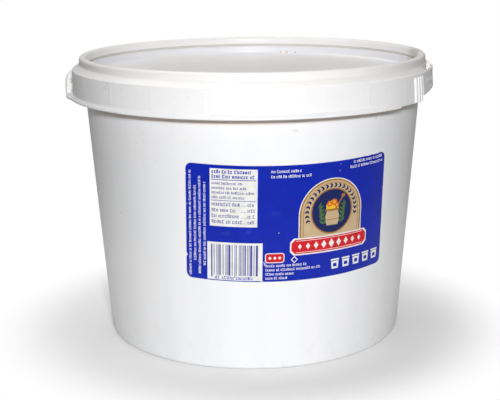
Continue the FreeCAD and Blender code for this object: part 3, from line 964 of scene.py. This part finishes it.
def printed_film(colour):
    paint = Paint(f"film_{colour}")
    shade = COLOURS[colour]
    mottle = paint.noise(160, 4)
    hair = paint.step(paint.noise(90, 3, (14, 14, 0.9)), 0.7, 0.78)
    hair = hair + paint.step(paint.noise(70, 3, (1.4, 1.4, 16)), 0.73, 0.8)
    rub = paint.step(paint.noise(48, 5), 0.62, 0.82)
    ground = paint.blend(paint.step(mottle, 0.3, 0.7), tint(*(value * 0.95 for value in shade)),
                         tint(*shade))
    pale = tint(*(value + (236 - value) * 0.5 for value in shade))
    bubble = sum(paint.near(wrapped(x, y, 0), size, tall) * strength
                 for x, y, size, tall, strength in ((37, 30.4, 2.2, 1, 1), (24, 29, 4.5, 0.4, 0.6),
                                                    (52, 41, 4.0, 0.5, 0.7), (63, 24, 3.2, 0.7, 0.6)))
    scuffed = paint.blend(hair * 0.07 + rub * 0.03 + bubble * 0.06, ground, pale)
    rough = 0.18 + 0.08 * mottle + 0.04 * rub
    wave = paint.noise(55, 2) + hair * 0.1
    return paint.finish({"Base Color": scuffed, "Roughness": rough, "IOR": 1.33}, wave, 0.12, 0.0006)


for colour, piece in label.items():
    piece.data.materials.append(printed_film(colour))
print(len(label), "inks, each with a film of its own colour")

# %% [markdown]
# ## Tying the pieces to the frame
# Each mesh rides on the part's one body and stands for the solid it replaces, which is hidden.
# The inks all belong to the label.

# %% Riding on the frame
for piece, node, finish in ((pail, "pail", "pail_plastic"), (lid, "lid", "lid_plastic"),
                            *((piece, "label", "label_film") for piece in label.values())):
    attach(piece, "root")
    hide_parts(node)

# %% [markdown]
# ## A white table
# The pail stands on a plain white floor that keeps its shadow. A floor seen from this low runs far
# back, where the lamps don't reach, so only the disc near the pail is lit like a surface. Further
# out, and wherever the world itself is seen, it is simply white: a glow of strength 1 for the
# camera, of which a reflection gets a little under half. What the floor throws back onto the pail
# comes from a plain surface, white nearby and dark further out, and the world adds a dim warm light.

# %% Floor and world
def seen(net):
    """1 for the camera or through glass, a little under half in a reflection, otherwise 0."""
    camera, glossy, through = (net.node("ShaderNodeLightPath", output=f"Is {name} Ray")
                               for name in ("Camera", "Glossy", "Transmission"))
    return camera + glossy * 0.45 + through


def white_floor():
    paint = Paint("white_table")
    away = paint.vector("LENGTH", {0: paint.spot}, "Value")
    far = paint.step(away, 0.112, 0.175) * 0.85 + 0.15
    lit, nearby, distant = (paint.node("ShaderNodeBsdfDiffuse", {}, {"Color": tint(*shade)})
                            for shade in ((250, 250, 250), (240, 238, 235), (70, 64, 58)))
    glow = paint.node("ShaderNodeEmission", {}, {"Color": (1, 1, 1, 1)})
    plain = paint.layered(paint.step(away, 0.2, 0.4), nearby, distant)
    shown = paint.layered(seen(paint), plain, paint.layered(far, lit, glow))
    paint.join(paint.tree.nodes["Material Output"].inputs["Surface"], shown)
    return paint.material


SIDES, RINGS = 60, (60, 200, 450, 4500)
points = [at(index * 360 / SIDES, radius, 0) for radius in RINGS for index in range(SIDES)]
faces = []
for ring in range(len(RINGS) - 1):
    for index in range(SIDES):
        here = ring * SIDES + index
        there = ring * SIDES + (index + 1) % SIDES
        faces.append((here, there, there + SIDES, here + SIDES))
faces.append(tuple(range(SIDES)))
floor = as_piece("floor", points, faces)
floor.data.materials.append(white_floor())

world = bpy.data.worlds.new("white_room")
bpy.context.scene.world = world
world.use_nodes = True
room = Net(world.node_tree)
dim = room.node("ShaderNodeBackground", {}, {"Color": (1, 0.95, 0.9, 1), "Strength": 0.06})
bright = room.node("ShaderNodeBackground", {}, {"Color": (1, 1, 1, 1), "Strength": 1.0})
room.join(world.node_tree.nodes["World Output"].inputs["Surface"],
          room.layered(seen(room), dim, bright))
print("the floor is", round(floor.dimensions.x, 1), "m across")

# %% [markdown]
# ## Light
# The pail is lit almost from where it is seen, which is why its front is bright and its sides fall
# away to grey. A small lamp near the eye and a broad one far behind it share that work equally,
# with a weak one low down. A large lamp above and a little behind lights the lid and the ledge, and
# drops a soft shadow forward, to the right. The last stands low behind, for the pail's back.

# %% Lamps
def lamp(name, place, target, wide, tall, power):
    data = bpy.data.lights.new(name, "AREA")
    data.energy = power
    data.shape = "RECTANGLE"
    data.size = wide
    data.size_y = tall
    aim = Vector(target) - Vector(place)
    made = placed_in_scene(name, data)
    made.location = place
    made.rotation_euler = aim.to_track_quat("-Z", "Y").to_euler()
    print(f"{name}: {power} W from {wide} by {tall} m, {aim.length:.2f} m away")


lamp("front_light", (0.03, -0.70, 0.345), (0, 0, 0.09), 0.05, 0.05, 2.0)
lamp("far_light", (0.03, -1.8, 0.75), (0, 0, 0.09), 0.6, 0.2, 12.2)
lamp("low_light", (0.12, -0.9, 0.12), (0, 0, 0.06), 0.3, 0.3, 0.7)
lamp("top_light", (-0.12, 0.3, 1.0), (0, 0, 0.16), 0.8, 0.8, 5.1)
lamp("back_light", (0, 1.2, 0.1), (0, 0, 0.09), 0.3, 0.14, 5.0)

# %% [markdown]
# ## Camera
# The pail is seen from in front, a little from above, at arm's length, with a longish lens. The
# camera's axes are built from its pitch, yaw and roll, so that the pail's axis can lean by the half
# degree that a hand-held camera gives it.

# %% Where it is seen from
PITCH, ROLL, YAW = 0.2338, -0.01024, -0.003129
ahead = Vector((math.sin(YAW) * math.cos(PITCH), math.cos(YAW) * math.cos(PITCH), -math.sin(PITCH)))
right = Vector((math.cos(YAW), -math.sin(YAW), 0))
up = right.cross(ahead)
level = right * math.cos(ROLL) + up * math.sin(ROLL)
upright = up * math.cos(ROLL) - right * math.sin(ROLL)
camera = placed_in_scene("camera", bpy.data.cameras.new("camera"))
camera.data.sensor_width = 36
camera.data.lens = 80.1
camera.data.shift_y = -0.003
camera.matrix_world = Matrix.Translation((0, -0.7027, 0.2486)) @ Matrix(
    (level, upright, -ahead)).transposed().to_4x4()
bpy.context.scene.camera = camera
bpy.context.scene.view_settings.view_transform = "Standard"
print(f"the camera looks down by {math.degrees(PITCH):.1f} degrees")
